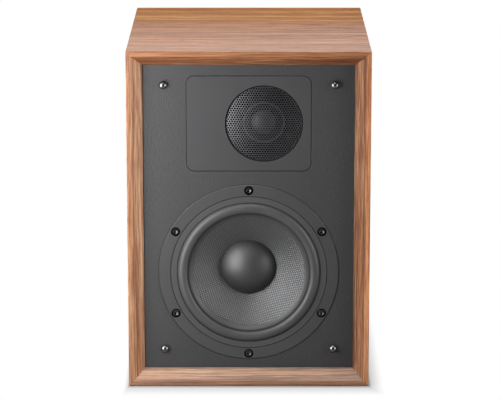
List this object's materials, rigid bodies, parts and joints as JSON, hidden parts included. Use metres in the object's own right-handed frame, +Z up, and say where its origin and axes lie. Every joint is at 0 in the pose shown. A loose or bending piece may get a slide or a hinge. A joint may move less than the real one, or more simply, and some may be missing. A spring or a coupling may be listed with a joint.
{
  "type": "bookshelf speaker",
  "caption": "Two-way bookshelf speaker: mitred walnut box, recessed dark baffle, woven-cone woofer, off-centre dome tweeter behind a domed mesh, flared rear ports and screw-down binding posts",
  "frame": {"origin": "centre of the underside", "axes": "+Z up, drivers face -Y, +X is the viewer's right from the front"},
  "size_m": [0.2464, 0.274, 0.3494],
  "materials": {
    "walnut": "satin oiled walnut veneer, grain along the length of each board",
    "baffle_black": "fine-textured charcoal lacquer on fibreboard",
    "back_black": "matt black lacquer on fibreboard",
    "raw_board": "raw fibreboard",
    "damping_wool": "long-fibre felt",
    "peg_chrome": "black-nickel plated",
    "basket_black": "matt powder coat",
    "trim_black": "satin moulded trim",
    "gasket_foam": "closed-cell foam",
    "black_screw": "black oxide",
    "surround_rubber": "satin rubber",
    "woven_cone": "coated woven fibre",
    "dust_cap": "satin coated",
    "bare_aluminium": "bare",
    "copper_wire": "enamelled copper",
    "spider_cloth": "resin-dipped cloth",
    "plated_steel": "zinc plated",
    "ferrite": "ground ferrite",
    "strip_laminate": "phenolic laminate",
    "tweeter_plate": "fine-grained moulding",
    "mesh_black": "black coated perforated steel",
    "dome_textile": "doped textile",
    "moulded_black": "fine-grained moulding",
    "gold_plate": "gold plated",
    "post_red": "moulded",
    "post_black": "moulded",
    "board_laminate": "glass-fibre laminate",
    "nylon": "natural nylon",
    "capacitor_film": "wrapped film",
    "resistor_cement": "cement",
    "lead_sleeve": "soft sleeve"
  },
  "bodies": {
    "cabinet": {"top_panel": "walnut", "bottom_panel": "walnut", "left_panel": "walnut", "right_panel": "walnut", "front_baffle": "baffle_black", "back_panel": "back_black", "window_brace": "raw_board", "damping_pads": "damping_wool", "grille_pegs": "peg_chrome", "woofer_basket": "basket_black", "woofer_trim_ring": "trim_black", "woofer_gasket": "gasket_foam", "woofer_screws": "black_screw", "tweeter_screws": "black_screw", "terminal_screws": "black_screw", "woofer_surround": "surround_rubber", "inductor_windings": "copper_wire", "woofer_spider": "spider_cloth", "woofer_top_plate": "plated_steel", "woofer_back_plate": "plated_steel", "tweeter_front_plate": "plated_steel", "tweeter_back_plate": "plated_steel", "woofer_magnet": "ferrite", "tweeter_magnet": "ferrite", "woofer_terminal_strip": "strip_laminate", "tweeter_terminal_strip": "strip_laminate", "tweeter_plate": "tweeter_plate", "tweeter_mesh": "mesh_black", "tweeter_surround": "dome_textile", "tweeter_rear_chamber": "moulded_black", "port_left": "moulded_black", "port_right": "moulded_black", "terminal_cup": "moulded_black", "post_studs": "gold_plate", "post_nuts": "gold_plate", "jumper_links": "gold_plate", "post_collars_red": "post_red", "post_collars_black": "post_black", "crossover_board": "board_laminate", "crossover_standoffs": "nylon", "inductor_bobbins": "nylon", "capacitors": "capacitor_film", "resistors": "resistor_cement", "input_leads": "lead_sleeve", "woofer_leads": "lead_sleeve", "tweeter_leads": "lead_sleeve"},
    "woofer_cone": {"woofer_cone": "woven_cone", "woofer_dust_cap": "dust_cap", "woofer_former": "bare_aluminium", "woofer_voice_coil": "copper_wire"},
    "tweeter_dome": {"tweeter_dome": "dome_textile", "tweeter_voice_coil": "copper_wire"},
    "washer_lower_left": {"post_washer_lower_left": "gold_plate"},
    "knob_lower_left": {"post_knob_lower_left": "post_black"},
    "washer_upper_left": {"post_washer_upper_left": "gold_plate"},
    "knob_upper_left": {"post_knob_upper_left": "post_black"},
    "washer_lower_right": {"post_washer_lower_right": "gold_plate"},
    "knob_lower_right": {"post_knob_lower_right": "post_red"},
    "washer_upper_right": {"post_washer_upper_right": "gold_plate"},
    "knob_upper_right": {"post_knob_upper_right": "post_red"}
  },
  "joints": [
    {"name": "woofer_excursion", "type": "slide", "parent": "cabinet", "child": "woofer_cone", "axis": [0, -1, 0], "range_m": [-0.005, 0.005], "stiffness_N_per_m": 1200, "deforming": ["woofer_surround", "woofer_spider"]},
    {"name": "tweeter_excursion", "type": "slide", "parent": "cabinet", "child": "tweeter_dome", "axis": [0, -1, 0], "range_m": [-0.0003, 0.0003], "stiffness_N_per_m": 2000, "deforming": ["tweeter_surround"]},
    {"name": "knob_lift_lower_left", "type": "slide", "parent": "cabinet", "child": "washer_lower_left", "axis": [0, 1, 0], "range_m": [0, 0.005]},
    {"name": "knob_turn_lower_left", "type": "hinge", "parent": "washer_lower_left", "child": "knob_lower_left", "pos_m": [-0.019, 0.128, 0.093], "axis": [0, 1, 0], "range_deg": [0, 1800]},
    {"name": "knob_lift_upper_left", "type": "slide", "parent": "cabinet", "child": "washer_upper_left", "axis": [0, 1, 0], "range_m": [0, 0.005]},
    {"name": "knob_turn_upper_left", "type": "hinge", "parent": "washer_upper_left", "child": "knob_upper_left", "pos_m": [-0.019, 0.128, 0.123], "axis": [0, 1, 0], "range_deg": [0, 1800]},
    {"name": "knob_lift_lower_right", "type": "slide", "parent": "cabinet", "child": "washer_lower_right", "axis": [0, 1, 0], "range_m": [0, 0.005]},
    {"name": "knob_turn_lower_right", "type": "hinge", "parent": "washer_lower_right", "child": "knob_lower_right", "pos_m": [0.019, 0.128, 0.093], "axis": [0, 1, 0], "range_deg": [0, 1800]},
    {"name": "knob_lift_upper_right", "type": "slide", "parent": "cabinet", "child": "washer_upper_right", "axis": [0, 1, 0], "range_m": [0, 0.005]},
    {"name": "knob_turn_upper_right", "type": "hinge", "parent": "washer_upper_right", "child": "knob_upper_right", "pos_m": [0.019, 0.128, 0.123], "axis": [0, 1, 0], "range_deg": [0, 1800]}
  ],
  "couplings": [
    {"joint": "knob_turn_lower_left", "follows": "knob_lift_lower_left", "rad_per_m": 6283.2},
    {"joint": "knob_turn_upper_left", "follows": "knob_lift_upper_left", "rad_per_m": 6283.2},
    {"joint": "knob_turn_lower_right", "follows": "knob_lift_lower_right", "rad_per_m": 6283.2},
    {"joint": "knob_turn_upper_right", "follows": "knob_lift_upper_right", "rad_per_m": 6283.2}
  ]
}
